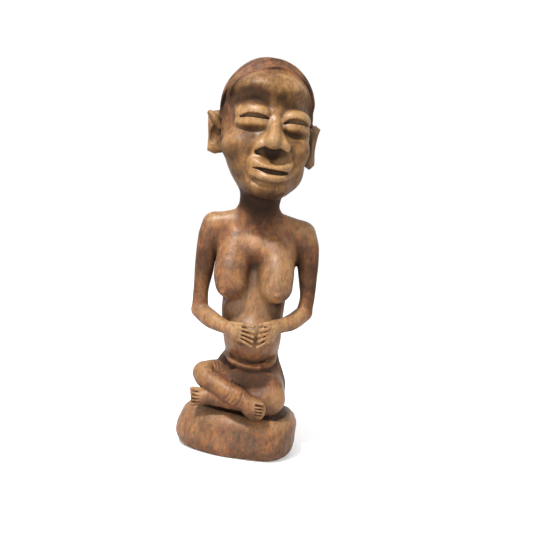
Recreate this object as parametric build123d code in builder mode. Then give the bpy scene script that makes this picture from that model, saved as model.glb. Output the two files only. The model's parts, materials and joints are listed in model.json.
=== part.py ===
from build123d import *

import os
from math import asin, degrees

# A seated fertility figure carved from one block of wood, as its named carved masses.
#
# Millimetres. +Z is up, -Y is the side the figure faces, and the origin is on the underside of the pedestal.
# Left and right are the figure's own, so its right side is at -X.
# Each mass is cut back by the masses made before it that it meets, so neighbours touch face to face.

# ---- driving dimensions -------------------------------------------------------------------------
HEIGHT = 400
PEDESTAL_HEIGHT = 40
WAIST_Z = 142
CHIN_Z = 256
EYE_Z = 331
NOSE_BASE_Z = 298
MOUTH_Z = 280

HEAD_AXIS = (-2, 2)
HEAD_YAW = 10

RIGHT, LEFT = -1, 1
SIDE_NAMES = {RIGHT: "right", LEFT: "left"}

SHOULDER = {RIGHT: (-45, 5.5, 223), LEFT: (48.5, 5.5, 222.5)}
ELBOW = {RIGHT: (-50, -3, 137), LEFT: (57.5, -3, 145)}
WRIST = {RIGHT: (-15, -35, 125.5), LEFT: (29, -35, 131.5)}
KNUCKLES = {RIGHT: (-5, -40, 121.5), LEFT: (23, -40, 124)}
HIP = {RIGHT: (-18, 6, 66), LEFT: (22, 6, 64)}
KNEE = {RIGHT: (-38, -20, 75.5), LEFT: (29, -31, 58.5)}
ANKLE = {RIGHT: (2, -49, 60.5), LEFT: (-25, -36.5, 55.5)}
BALL_OF_FOOT = {RIGHT: (18, -52, 53.5), LEFT: (-37, -36, 54.5)}

SHOULDER_RADIUS, ELBOW_RADIUS, WRIST_RADIUS = 13.2, 8.6, 5.8
HIP_RADIUS, KNEE_RADIUS, ANKLE_RADIUS = 19, {RIGHT: 11, LEFT: 16}, 8.2
NECK_RADIUS = 20.8

os.makedirs("parts", exist_ok=True)


# ---- shared shapes ------------------------------------------------------------------------------
def tapered_limb(start, end, start_radius, end_radius):
    """A cone with a ball at each end that it runs into smoothly."""
    start, end = Vector(start), Vector(end)
    along = end - start
    slope = degrees(asin((start_radius - end_radius) / along.length))
    level = Vector(0, 0, 1) if abs(along.Z) < 0.9 * along.length else Vector(0, 1, 0)
    across = along.cross(level)
    with BuildPart() as limb:
        with BuildSketch(Plane(origin=start, x_dir=across, z_dir=across.cross(along))):
            with BuildLine():
                near = CenterArc((0, 0), start_radius, -90, 90 + slope)
                far = CenterArc((0, along.length), end_radius, slope, 90 - slope)
                Line(near @ 1, far @ 0)
                Line(far @ 1, near @ 0)
            make_face()
        revolve(axis=Axis(start, along))
    return limb.part


def ellipsoid(centre, half_sizes, turn=0):
    """A ball stretched to its half sizes along X, Y and Z, then turned about the upright."""
    with BuildPart() as ball:
        Sphere(1)
        scale(by=half_sizes)
    return Plane(origin=centre).rotated((0, 0, turn)).from_local_coords(ball.part)


def stack(sections):
    """A solid through level ellipses, each (height, half width, half depth, centre x, centre y)."""
    with BuildPart() as body:
        for height, half_width, half_depth, centre_x, centre_y in sections:
            with BuildSketch(Plane((centre_x, centre_y, height))):
                Ellipse(half_width, half_depth)
        loft()
    return body.part


def cut_back(*neighbours):
    """Takes the neighbours out of the part being built, so that it meets them face to face."""
    for neighbour in neighbours:
        add(neighbour, mode=Mode.SUBTRACT)


def turn_with_head(shape):
    """Turns a shape made facing -Y to the way the head faces."""
    return shape.rotate(Axis((*HEAD_AXIS, 0), (0, 0, 1)), HEAD_YAW)


def write(piece, name):
    """Keeps the one solid of a mass, labels it, writes its STEP file and gives it back."""
    kept = piece.part.solids().sort_by(SortBy.VOLUME)[-1]
    kept.label = name
    export_step(kept, f"parts/{name}.step")
    return kept


# ---- pedestal -----------------------------------------------------------------------------------
FOOTPRINT = [
    (-60, 2), (-55, -24), (-31, -42), (10, -53), (44, -49),
    (60, -24), (62, 6), (53, 36), (24, 50), (-16, 50), (-48, 36),
]
PEDESTAL_STEPS = [(0, 0.96), (10, 1.0), (24, 0.97), (PEDESTAL_HEIGHT, 0.85)]
PEDESTAL_TOP_ROUND = 6

with BuildPart() as pedestal_block:
    for height, spread in PEDESTAL_STEPS:
        with BuildSketch(Plane.XY.offset(height)):
            with BuildLine():
                Spline([(x * spread, y * spread) for x, y in FOOTPRINT], periodic=True)
            make_face()
    loft()
    fillet(pedestal_block.faces().sort_by(Axis.Z)[-1].edges(), PEDESTAL_TOP_ROUND)
pedestal = write(pedestal_block, "pedestal")

# ---- torso --------------------------------------------------------------------------------------
HIP_SECTIONS = [
    (PEDESTAL_HEIGHT - 4, 35, 30, 2, 15),
    (52, 42, 35, 2, 13),
    (70, 40, 34, 3, 11),
    (90, 31, 27, 6, 7),
    (112, 27, 24, 6.5, 4),
]
CHEST_SECTIONS = [
    (112, 27, 24, 6.5, 4),
    (WAIST_Z, 30.5, 21, 5, 3),
    (168, 34, 21, 4, 4),
    (196, 41, 22, 3, 5),
    (218, 47, 21, 1, 6),
    (232, 42, 18, 1, 7),
    (241, 24, 15, 0, 7),
]
BELLY_CENTRE, BELLY_HALF_SIZES = (7.5, -8, 114), (28.5, 30, 27)
ROLL_PLANE = Plane(origin=(8, -5, 98), x_dir=(1, 0, 0.12), z_dir=(-0.12, -0.42, 1))
ROLL_RING_RADIUS, ROLL_RADIUS = 27, 4.5
BREAST_TOP, BREAST_LOW = (20, -6, 204), (22, -21, 169)
BREAST_TOP_RADIUS, BREAST_LOW_RADIUS = 13, 17
BREAST_SHIFT = 1.5

with BuildPart() as hip_mass:
    add(stack(HIP_SECTIONS))
    cut_back(pedestal)
hips = write(hip_mass, "hips")

with BuildPart() as chest_mass:
    add(stack(CHEST_SECTIONS))
    cut_back(hips)
chest = write(chest_mass, "chest")

with BuildPart() as belly_mass:
    add(ellipsoid(BELLY_CENTRE, BELLY_HALF_SIZES))
    cut_back(hips, chest)
belly = write(belly_mass, "belly")

with BuildPart() as roll_mass:
    with Locations(ROLL_PLANE):
        Torus(ROLL_RING_RADIUS, ROLL_RADIUS)
    cut_back(hips, belly, chest)
waist_roll = write(roll_mass, "waist_roll")

breasts = {}
for side in (RIGHT, LEFT):
    with BuildPart() as breast_mass:
        top = (side * BREAST_TOP[0] + BREAST_SHIFT, BREAST_TOP[1], BREAST_TOP[2])
        low = (side * BREAST_LOW[0] + BREAST_SHIFT, BREAST_LOW[1], BREAST_LOW[2])
        add(tapered_limb(top, low, BREAST_TOP_RADIUS, BREAST_LOW_RADIUS))
        cut_back(chest)
    breasts[side] = write(breast_mass, f"{SIDE_NAMES[side]}_breast")

# ---- neck and head ------------------------------------------------------------------------------
HEAD_TOP = 396
HEAD_SECTIONS = [
    (CHIN_Z, 13, 12, -2, -26),
    (264, 25, 23, -2, -18),
    (280, 36, 36, -2, -8),
    (302, 43, 44, -2, -2),
    (328, 46, 48, -2, 2),
    (352, 46, 49, -2, 4),
    (372, 40, 41, -2, 8),
    (386, 28, 29, -2, 11),
    (HEAD_TOP, 12, 13, -3, 13),
]
CAP_GROWTH, CAP_GROWTH_CENTRE = (1.09, 1.06, (HEIGHT - 320) / (HEAD_TOP - 320)), (-2, 0, 320)
HAIRLINE = Plane(origin=(-2, -22, 382), z_dir=(0, 1, 0.42))
NAPE = Plane(origin=(-2, 0, 302), z_dir=(0, 0.3, 1))

with BuildPart() as head_mass:
    add(turn_with_head(stack(HEAD_SECTIONS)))
head = write(head_mass, "head")

with BuildPart() as neck_mass:
    add(tapered_limb((0, 6, 240), (-1, 4, 268), NECK_RADIUS + 2, NECK_RADIUS))
    cut_back(head, chest)
neck = write(neck_mass, "neck")

with BuildPart() as cap_mass:
    add(stack(HEAD_SECTIONS))
    scale(by=CAP_GROWTH, about=CAP_GROWTH_CENTRE)
    split(bisect_by=HAIRLINE, keep=Keep.TOP)
    split(bisect_by=NAPE, keep=Keep.TOP)
    add(turn_with_head(cap_mass.part), mode=Mode.REPLACE)
    cut_back(head, neck)
hair_cap = write(cap_mass, "hair_cap")

# ---- face ---------------------------------------------------------------------------------------
NOSE_SECTIONS = [(340, 5, 6, -2, -40), (318, 8, 12, -2, -41), (NOSE_BASE_Z, 17, 19, -2, -39)]
EYELID_CENTRE, EYELID_HALF_SIZES, EYELID_TURN = (21, -32, EYE_Z), (16, 11, 14), 22
LIPS_CENTRE, LIPS_HALF_SIZES = (-2, -33, MOUTH_Z), (20, 19, 9)
SLIT_SIZE, SLIT_X = (34, 14, 4), 8

with BuildPart() as nose_mass:
    add(turn_with_head(stack(NOSE_SECTIONS)))
    cut_back(head)
nose = write(nose_mass, "nose")

eyelids = {}
for side in (RIGHT, LEFT):
    with BuildPart() as eyelid_mass:
        centre = (HEAD_AXIS[0] + side * EYELID_CENTRE[0], EYELID_CENTRE[1], EYELID_CENTRE[2])
        add(turn_with_head(ellipsoid(centre, EYELID_HALF_SIZES, side * EYELID_TURN)))
        cut_back(head, nose)
    eyelids[side] = write(eyelid_mass, f"{SIDE_NAMES[side]}_eyelids")

with BuildPart() as lip_mass:
    add(turn_with_head(ellipsoid(LIPS_CENTRE, LIPS_HALF_SIZES)))
    with Locations((SLIT_X, LIPS_CENTRE[1] - LIPS_HALF_SIZES[1], MOUTH_Z)):
        Box(*SLIT_SIZE, mode=Mode.SUBTRACT)
    cut_back(head, nose)
lips = write(lip_mass, "lips")

# ---- ears ---------------------------------------------------------------------------------------
EAR_OUTLINE = [(-6, 36), (13, 42), (20, 39), (16, 22), (18, 3), (10, 0), (-6, 2)]
EAR_THICKNESS, EAR_ROUND = 6, 2.5
EAR_ROOT = (42, 6, 297)
EAR_SWEEP = 0.35

ears = {}
for side in (RIGHT, LEFT):
    with BuildPart() as ear_mass:
        outward = Vector(side, EAR_SWEEP, 0)
        root = (HEAD_AXIS[0] + side * EAR_ROOT[0], EAR_ROOT[1], EAR_ROOT[2])
        ear_plane = Plane(origin=root, x_dir=outward, z_dir=side * outward.cross(Vector(0, 0, 1)))
        flip = 1 if ear_plane.y_dir.Z > 0 else -1
        with BuildSketch(ear_plane) as ear_outline:
            Polygon([(x, flip * y) for x, y in EAR_OUTLINE], align=None)
            fillet(ear_outline.vertices(), EAR_ROUND)
        extrude(amount=EAR_THICKNESS / 2, both=True)
        add(turn_with_head(ear_mass.part), mode=Mode.REPLACE)
        cut_back(head, hair_cap)
    ears[side] = write(ear_mass, f"{SIDE_NAMES[side]}_ear")

# ---- arms and hands -----------------------------------------------------------------------------
FINGER_COUNT, FINGER_RADIUS, FINGER_GROWTH, PALM_RADIUS = 4, 2.2, 0.4, 7.5
KNUCKLE_SPREAD = 0.75
TOP_FINGERTIP = {RIGHT: (8, -44, 127), LEFT: (14, -44, 129)}
LOW_FINGERTIP = {RIGHT: (7, -41.5, 111), LEFT: (13.5, -41.5, 111)}

upper_arms, forearms, hands = {}, {}, {}
for side in (RIGHT, LEFT):
    with BuildPart() as upper_arm_mass:
        add(tapered_limb(SHOULDER[side], ELBOW[side], SHOULDER_RADIUS, ELBOW_RADIUS))
        cut_back(chest, breasts[side])
    upper_arms[side] = write(upper_arm_mass, f"{SIDE_NAMES[side]}_upper_arm")

    with BuildPart() as forearm_mass:
        add(tapered_limb(ELBOW[side], WRIST[side], ELBOW_RADIUS, WRIST_RADIUS))
        cut_back(upper_arms[side], belly, chest, breasts[side])
    forearms[side] = write(forearm_mass, f"{SIDE_NAMES[side]}_forearm")

for side in (RIGHT, LEFT):
    with BuildPart() as hand_mass:
        add(tapered_limb(WRIST[side], KNUCKLES[side], WRIST_RADIUS, PALM_RADIUS))
        for finger in range(FINGER_COUNT):
            step = Vector(LOW_FINGERTIP[side]) - Vector(TOP_FINGERTIP[side])
            along = finger / (FINGER_COUNT - 1)
            tip = Vector(TOP_FINGERTIP[side]) + step * along
            knuckle = Vector(KNUCKLES[side]) + step * (along - 0.5) * KNUCKLE_SPREAD
            add(tapered_limb(knuckle, tip, FINGER_RADIUS + FINGER_GROWTH, FINGER_RADIUS))
        cut_back(belly, forearms[side], *hands.values())
    hands[side] = write(hand_mass, f"{SIDE_NAMES[side]}_hand")

# ---- legs and feet ------------------------------------------------------------------------------
TOE_COUNT, TOE_RADIUS, TOE_GROWTH = 5, 2.3, 1
TOP_TOE = {RIGHT: (23, -57, 60), LEFT: (-46, -38.5, 62)}
LOW_TOE = {RIGHT: (23, -56, 47), LEFT: (-44, -38.5, 48)}
FOOT_RADIUS, INSTEP = 8.6, 0.3

thighs, shins, feet = {}, {}, {}
made = [pedestal, hips, belly, waist_roll]
for side in (LEFT, RIGHT):
    with BuildPart() as thigh_mass:
        add(tapered_limb(HIP[side], KNEE[side], HIP_RADIUS, KNEE_RADIUS[side]))
        cut_back(*made)
    thighs[side] = write(thigh_mass, f"{SIDE_NAMES[side]}_thigh")
    made.append(thighs[side])

    with BuildPart() as shin_mass:
        add(tapered_limb(KNEE[side], ANKLE[side], KNEE_RADIUS[side], ANKLE_RADIUS))
        cut_back(*made)
    shins[side] = write(shin_mass, f"{SIDE_NAMES[side]}_shin")
    made.append(shins[side])

    with BuildPart() as foot_mass:
        instep = Vector(ANKLE[side]) + (Vector(BALL_OF_FOOT[side]) - Vector(ANKLE[side])) * INSTEP
        add(tapered_limb(instep, BALL_OF_FOOT[side], ANKLE_RADIUS, FOOT_RADIUS))
        for toe in range(TOE_COUNT):
            step = Vector(LOW_TOE[side]) - Vector(TOP_TOE[side])
            tip = Vector(TOP_TOE[side]) + step * (toe / (TOE_COUNT - 1))
            add(tapered_limb(BALL_OF_FOOT[side], tip, TOE_RADIUS + TOE_GROWTH, TOE_RADIUS))
        cut_back(*made)
    feet[side] = write(foot_mass, f"{SIDE_NAMES[side]}_foot")
    made.append(feet[side])
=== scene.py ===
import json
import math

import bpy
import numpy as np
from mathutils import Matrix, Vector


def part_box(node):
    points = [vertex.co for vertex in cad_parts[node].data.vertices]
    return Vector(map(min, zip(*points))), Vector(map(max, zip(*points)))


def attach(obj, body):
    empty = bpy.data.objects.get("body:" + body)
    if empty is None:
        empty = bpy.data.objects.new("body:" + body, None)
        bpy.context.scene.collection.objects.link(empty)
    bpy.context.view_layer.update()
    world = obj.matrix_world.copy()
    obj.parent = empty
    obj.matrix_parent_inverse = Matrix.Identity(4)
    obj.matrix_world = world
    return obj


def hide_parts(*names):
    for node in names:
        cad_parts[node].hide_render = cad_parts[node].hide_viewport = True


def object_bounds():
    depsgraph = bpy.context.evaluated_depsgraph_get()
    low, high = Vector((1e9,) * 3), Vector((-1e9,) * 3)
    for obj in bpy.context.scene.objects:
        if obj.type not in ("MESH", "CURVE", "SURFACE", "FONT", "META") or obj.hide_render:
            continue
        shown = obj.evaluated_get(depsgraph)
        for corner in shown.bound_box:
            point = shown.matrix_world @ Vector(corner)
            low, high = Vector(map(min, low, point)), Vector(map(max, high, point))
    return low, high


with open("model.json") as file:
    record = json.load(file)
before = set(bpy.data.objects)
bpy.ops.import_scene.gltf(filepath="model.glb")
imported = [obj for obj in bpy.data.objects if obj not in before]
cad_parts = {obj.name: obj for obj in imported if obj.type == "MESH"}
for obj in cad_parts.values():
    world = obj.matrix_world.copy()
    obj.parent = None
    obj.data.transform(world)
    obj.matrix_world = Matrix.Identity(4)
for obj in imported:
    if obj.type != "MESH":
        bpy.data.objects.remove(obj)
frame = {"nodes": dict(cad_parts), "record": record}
cad_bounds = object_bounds()

# Looks for the carved fertility doll.
#
# The figure is carved as one distance field, as the real one is carved from one block, and its surface is
# cut into one piece for each node of the CAD model. Shapes are written in millimetres along the CAD
# model's axes, and each group is placed by a CAD box: the face by the head's, the others by their own
# node's. The pedestal takes its footprint from the CAD. The meshes are in metres. Left and right are the
# figure's own: its left is on the side of +X.

MM = 0.001
VOXEL = 0.72  # the grid's spacing in millimetres
FAR = 30  # the distance field's value before anything is carved
MARGIN = 6  # how far the grid reaches round the figure, and a shape's effect round the shape
LINE = 0.1  # the radius of the line along which a groove is pressed
GROOVE_REACH = 2.2  # in widths: further out a groove is less than 1 % deep
SLIT_STEP = 0.8  # how much deeper each pass of a slit goes
CURVE_STEPS = 6  # beads on a curve between one of its points and the next
TINY = 1e-9  # keeps divisions from failing
NODES = sorted(frame["nodes"])
SCENE = bpy.context.scene

# The middle of the CAD box that places a group of shapes, in the coordinates in which they are written.
MIDDLES = {"hips": (2.1, 12.4, 74.6), "chest": (1, 4, 176.5), "belly": (7.5, -14.6, 114.4),
           "waist_roll": (8, -10.3, 96.2), "neck": (0, 6, 251.2), "head": (-2.2, 3.3, 326),
           "hair_cap": (-2.2, 15.5, 345.1),
           "right_breast": (-20.5, -20.7, 183.3), "left_breast": (23.5, -22.1, 183.4),
           "right_ear": (-53.6, 0.1, 317.9), "left_ear": (47.1, 17.7, 317.9),
           "right_upper_arm": (-46.9, 3.6, 182.3), "left_upper_arm": (52.9, 3.6, 186.1),
           "right_forearm": (-32.4, -18.8, 131.5), "left_forearm": (43.5, -19.1, 138.3),
           "right_hand": (-4.3, -38.7, 120), "left_hand": (22.6, -38.8, 122.5),
           "right_thigh": (-33.3, -10.1, 71), "left_thigh": (27.5, -23.3, 60.5),
           "right_shin": (-17.1, -38.7, 69.1), "left_shin": (-2.3, -33.8, 58.1),
           "right_foot": (13.8, -52.4, 55.6), "left_foot": (-37.2, -36, 55)}


# ---- the carving: a distance field on a grid, below zero in the wood and above zero in the air ----
def smooth_min(a, b, blend):
    """The smaller of a and b, rounded where they are within blend of each other."""
    overlap = np.maximum(blend - np.abs(a - b), 0)
    return np.minimum(a, b) - overlap * overlap / (4 * blend)


def smooth_max(a, b, blend):
    """The larger of a and b, rounded in the same way."""
    return -smooth_min(-a, -b, blend)


class Carving:
    """The block: its distance field, and for each point the node whose mass it lies deepest in."""

    def __init__(self, low, high, voxel):
        self.low = np.array(low, np.float32)
        self.voxel = voxel
        self.axes = [np.arange(lo, hi, voxel, dtype=np.float32) for lo, hi in zip(low, high)]
        shape = [len(axis) for axis in self.axes]
        self.field = np.full(shape, FAR, np.float32)
        self.nearest = np.full(shape, FAR, np.float32)
        self.owner = np.zeros(shape, np.uint8)
        self.shift = np.zeros(3, np.float32)
        self.node = None

    def begin(self, node):
        """What follows belongs to a node and is placed by its CAD box."""
        self.node = node
        corners = np.array(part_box(node), np.float32) / MM
        self.shift = corners.mean(0) - np.array(MIDDLES[node], np.float32)

    def window(self, low, high):
        """The part of the grid between two corners, and the coordinates of its points."""
        spans = []
        for lo, hi, start, axis in zip(low + self.shift, high + self.shift, self.low, self.axes):
            first = int(max(0, math.floor((lo - start) / self.voxel)))
            last = int(min(len(axis), math.ceil((hi - start) / self.voxel) + 1))
            spans.append(slice(first, max(first, last)))
        x, y, z = (axis[span] - shift for axis, span, shift in zip(self.axes, spans, self.shift))
        return tuple(spans), (x[:, None, None], y[None, :, None], z[None, None, :])

    def add(self, shape, blend):
        """Joins a shape to the wood as part of the node, with a fillet as wide as blend."""
        spans, points = self.window(shape.low - MARGIN - blend, shape.high + MARGIN + blend)
        distance = shape.distance(*points)
        self.field[spans] = smooth_min(self.field[spans], distance, blend)
        closer = distance < self.nearest[spans]
        self.nearest[spans] = np.where(closer, distance, self.nearest[spans])
        self.owner[spans] = np.where(closer, NODES.index(self.node) + 1, self.owner[spans])

    def tube(self, points, blend):
        """Joins a tube through points (x, y, z, radius) to the wood."""
        self.add(Strand(points), blend)

    def cut(self, shape, blend):
        """Takes a shape out of the wood and rounds the edge that it leaves."""
        spans, points = self.window(shape.low - MARGIN - blend, shape.high + MARGIN + blend)
        self.field[spans] = -smooth_min(-self.field[spans], shape.distance(*points), blend)

    def groove(self, points, width, depth):
        """Presses a soft groove through points (x, y, z), or raises a ridge where depth is negative."""
        path = Strand([(*point, LINE) for point in points])
        reach = GROOVE_REACH * width
        spans, points = self.window(path.low - reach, path.high + reach)
        distance = path.distance(*points) / width
        self.field[spans] += depth * np.exp(-distance * distance)

    def front(self, x, z):
        """How far forward the wood reaches at a place seen from the front."""
        place = (np.array((x, 0, z)) + self.shift - self.low) / self.voxel
        column = self.field[int(round(place[0])), :, int(round(place[2]))]
        first = int(np.argmax(column < 0))
        before, after = column[first - 1], column[first]
        return float(self.axes[1][first - 1] + self.voxel * before / (before - after) - self.shift[1])

    def on_front(self, points):
        """Points (x, z, radius) laid on the front of the wood, as a tube needs them."""
        return [(x, self.front(x, z), z, radius) for x, z, radius in points]

    def crease(self, points, width, depth):
        """Presses a groove along the front of the wood through points (x, z)."""
        self.groove([(x, self.front(x, z), z) for x, z in points], width, depth)

    def slit(self, points, deep):
        """Cuts a slit along the front of the wood through points (x, z, radius)."""
        places = self.on_front(points)
        for depth in np.arange(0, deep, SLIT_STEP):
            self.cut(Strand([(x, y + depth, z, radius) for x, y, z, radius in places]), blend=0.5)

    def relief(self, low, high, height):
        """Raises the surface between two corners by the height that a function gives at x, y, z."""
        spans, points = self.window(low, high)
        self.field[spans] -= height(*points)


# ---- the shapes: each has the corners that hold it, and a distance that is below zero inside ----
class Ball:
    """An ellipsoid with half sizes along its own axes, which angles in degrees turn about X, Y, then Z."""

    def __init__(self, centre, half_sizes, turn=(0, 0, 0)):
        self.centre = np.array(centre, np.float32)
        self.half_sizes = np.array(half_sizes, np.float32)
        self.axes = rotation(turn).T
        reach = np.sqrt(((self.axes.T * self.half_sizes) ** 2).sum(1))
        self.low, self.high = self.centre - reach, self.centre + reach

    def distance(self, x, y, z):
        x, y, z = x - self.centre[0], y - self.centre[1], z - self.centre[2]
        size, steepness = 0, 0
        for axis, half in zip(self.axes, self.half_sizes):
            along = (x * axis[0] + y * axis[1] + z * axis[2]) / half
            size = size + along * along
            steepness = steepness + (along / half) ** 2
        size = np.sqrt(size)
        return size * (size - 1) / np.sqrt(steepness + TINY)


class Strand:
    """A tube along a smooth curve through its points, each (x, y, z, radius)."""

    def __init__(self, points):
        self.beads = curve_through(np.array(points, np.float32))
        reach = self.beads[:, 3:4]
        self.low = (self.beads[:, :3] - reach).min(0)
        self.high = (self.beads[:, :3] + reach).max(0)

    def distance(self, x, y, z):
        result = np.float32(1e6)
        for (x0, y0, z0, r0), (x1, y1, z1, r1) in zip(self.beads[:-1], self.beads[1:]):
            ax, ay, az = x1 - x0, y1 - y0, z1 - z0
            length2 = ax * ax + ay * ay + az * az + TINY
            t = np.clip(((x - x0) * ax + (y - y0) * ay + (z - z0) * az) / length2, 0, 1)
            gap = np.sqrt((x - x0 - t * ax) ** 2 + (y - y0 - t * ay) ** 2 + (z - z0 - t * az) ** 2)
            result = np.minimum(result, gap - r0 - t * (r1 - r0))
        return result


class Stack:
    """A body through level ellipses, each (height, half width, half depth, centre x, centre y)."""

    def __init__(self, sections):
        self.sections = np.array(sections, np.float32)
        heights, widths, depths, xs, ys = self.sections.T
        self.low = np.array([(xs - widths).min(), (ys - depths).min(), heights.min()])
        self.high = np.array([(xs + widths).max(), (ys + depths).max(), heights.max()])

    def distance(self, x, y, z):
        heights = self.sections[:, 0]
        level = np.clip(z.ravel(), heights[0], heights[-1])
        width, depth, centre_x, centre_y = (smooth_interp(level, heights, column)[None, None, :]
                                            for column in self.sections.T[1:])
        dx, dy = x - centre_x, y - centre_y
        size = np.sqrt((dx / width) ** 2 + (dy / depth) ** 2)
        reach = np.sqrt(dx * dx + dy * dy)
        side = reach * (1 - 1 / np.maximum(size, 1e-3))
        side = np.where(size < 1e-2, -np.minimum(width, depth), side)
        over = np.maximum(z - heights[-1], heights[0] - z)
        return smooth_max(side, over, blend=4)


class Trimmed:
    """The part of a shape that is above planes, each a point and the direction to keep."""

    def __init__(self, shape, planes, blend):
        self.shape, self.planes, self.blend = shape, planes, blend
        self.low, self.high = shape.low, shape.high

    def distance(self, x, y, z):
        result = self.shape.distance(x, y, z)
        for plane in self.planes:
            result = smooth_max(result, -height_above(plane, x, y, z), self.blend)
        return result


class Plate:
    """A flat outline of points (across, up), given a thickness, standing in a plane of its own."""

    def __init__(self, origin, across, up, outline, thickness, rounding):
        self.origin = np.array(origin, np.float32)
        self.across, self.up = (np.array(Vector(v).normalized()) for v in (across, up))
        self.out = np.cross(self.across, self.up)
        self.outline = np.array(outline, np.float32)
        self.half = thickness / 2
        self.rounding = rounding
        flat = self.origin + self.outline[:, :1] * self.across + self.outline[:, 1:] * self.up
        self.low, self.high = flat.min(0) - thickness, flat.max(0) + thickness

    def distance(self, x, y, z):
        x, y, z = x - self.origin[0], y - self.origin[1], z - self.origin[2]
        u, v, w = (x * a[0] + y * a[1] + z * a[2] for a in (self.across, self.up, self.out))
        nearest, inside = np.float32(1e6), np.zeros(np.broadcast(u, v).shape, bool)
        for (u0, v0), (u1, v1) in zip(self.outline, np.roll(self.outline, -1, 0)):
            du, dv = u1 - u0, v1 - v0
            t = np.clip(((u - u0) * du + (v - v0) * dv) / (du * du + dv * dv), 0, 1)
            nearest = np.minimum(nearest, np.hypot(u - u0 - t * du, v - v0 - t * dv))
            crosses = (v0 > v) != (v1 > v)
            inside ^= crosses & (u < u0 + (v - v0) * du / (dv if abs(dv) > 1e-6 else 1e-6))
        edge = np.where(inside, -nearest, nearest)
        return smooth_max(edge, np.abs(w) - self.half, 2 * self.rounding)


class Pedestal:
    """A low rounded block with a footprint of its own and a hand-cut, sloping top."""

    def __init__(self, ring):
        angles = np.arctan2(ring[:, 1], ring[:, 0])
        order = np.argsort(angles)
        radii = np.hypot(ring[:, 0], ring[:, 1])
        self.angles = np.linspace(-math.pi, math.pi, 73)  # every 5 degrees
        self.radii = np.interp(self.angles, angles[order], radii[order], period=2 * math.pi)
        self.low, self.high = np.array([-64, -60, 0]), np.array([66, 60, 48])

    def distance(self, x, y, z):
        rise = np.clip(z / 40, 0, 1.4)
        lean = 3.5 * rise - 1.2
        dx = x - lean
        angle = np.arctan2(y, dx)
        radius = np.interp(angle, self.angles, self.radii, period=2 * math.pi) - 0.4
        radius = radius + 2.6 * np.clip(-dx / 60, -0.4, 1) * np.exp(-((z - 17) / 13) ** 2)
        spread = 1 - 0.05 * rise ** 2 - 0.1 * np.clip(1 - z / 15, 0, 1) ** 2
        side = np.hypot(dx, y) - radius * spread
        rim = np.exp(-((side + 9) / 4.5) ** 2) * np.clip(0.5 - y / 60, 0, 1)
        trough = np.exp(-((side + 19) / 6) ** 2) * np.clip(0.2 - y / 60, 0, 1)
        trough = trough * np.clip((x + 40) / 25, 0, 1)
        top = z - (38.5 - 0.05 * x + 2.5 * np.clip((x - 38) / 15, 0, 1) + 3.4 * rim - 2.5 * trough)
        return smooth_max(smooth_max(side, top, blend=10), -z, blend=3)


def rotation(turn):
    """The matrix that turns by angles in degrees about X, then Y, then Z."""
    turns = [Matrix.Rotation(math.radians(angle), 3, axis) for angle, axis in zip(turn, "XYZ")]
    return np.array(turns[2] @ turns[1] @ turns[0], np.float32)


def height_above(plane, x, y, z):
    """The distance above a plane given as a point and a direction."""
    point, direction = plane
    normal = Vector(direction).normalized()
    return (x - point[0]) * normal[0] + (y - point[1]) * normal[1] + (z - point[2]) * normal[2]


def curve_through(points):
    """Points on a smooth curve through the given ones."""
    if len(points) == 2:
        return points
    padded = np.vstack([2 * points[0] - points[1], points, 2 * points[-1] - points[-2]])
    beads = []
    for a, b, c, d in zip(padded, padded[1:], padded[2:], padded[3:]):
        for t in np.arange(CURVE_STEPS) / CURVE_STEPS:
            beads.append(0.5 * (2 * b + (c - a) * t + (2 * a - 5 * b + 4 * c - d) * t ** 2
                                + (3 * b - a - 3 * c + d) * t ** 3))
    return np.array(beads + [points[-1]], np.float32)


def smooth_interp(at, knots, values):
    """Values between knots along a smooth curve that doesn't overshoot much."""
    slopes = np.gradient(values, knots)
    index = np.clip(np.searchsorted(knots, at, side="right") - 1, 0, len(knots) - 2)
    width = knots[index + 1] - knots[index]
    t = (at - knots[index]) / width
    a, b = values[index], values[index + 1]
    slope_a, slope_b = slopes[index] * width, slopes[index + 1] * width
    return ((2 * t ** 3 - 3 * t ** 2 + 1) * a + (t ** 3 - 2 * t ** 2 + t) * slope_a
            + (3 * t ** 2 - 2 * t ** 3) * b + (t ** 3 - t ** 2) * slope_b)


def between(ends, t):
    """The value a part t of the way from the first to the second."""
    return ends[0] + (ends[1] - ends[0]) * t


# ---- the figure, in the order of carve_figure ----
def carve_pedestal(c):
    """The pedestal, as wide as the CAD's at a height between 6 and 16 mm."""
    mesh = frame["nodes"]["pedestal"].data
    co = np.empty(len(mesh.vertices) * 3, np.float32)
    mesh.vertices.foreach_get("co", co)
    co = co.reshape(-1, 3) / MM
    c.node = "pedestal"
    c.add(Pedestal(co[(co[:, 2] > 6) & (co[:, 2] < 16)]), 1)


def carve_hips(c):
    """Hips and waist, buttocks, and the lap between the thighs."""
    c.begin("hips")
    c.add(Stack([(34, 40, 32, 2, 13), (50, 43, 34, 2, 13), (66, 40.5, 32, 4, 11), (82, 34.5, 28, 6, 8),
                 (89, 31.5, 26, 6, 7), (97, 27.5, 24, 7.5, 5), (108, 23, 21, 7, 4)]), 3)
    for x in (-15, 21):
        c.add(Ball((x, 26, 60), (24, 24, 24)), 10)
    c.add(Ball((9, -17, 67), (32, 23, 19)), 8)
    c.add(Ball((-22, -13, 73), (13, 13, 11)), 6)
    c.add(Plate((7, -31.5, 72.5), (1, 0, 0), (0, 0.61, 0.79),
                [(-29, 6), (-20, -9), (30, -9), (33, 2), (24, 12), (-14, 12)], 16, 4), 6)


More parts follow.
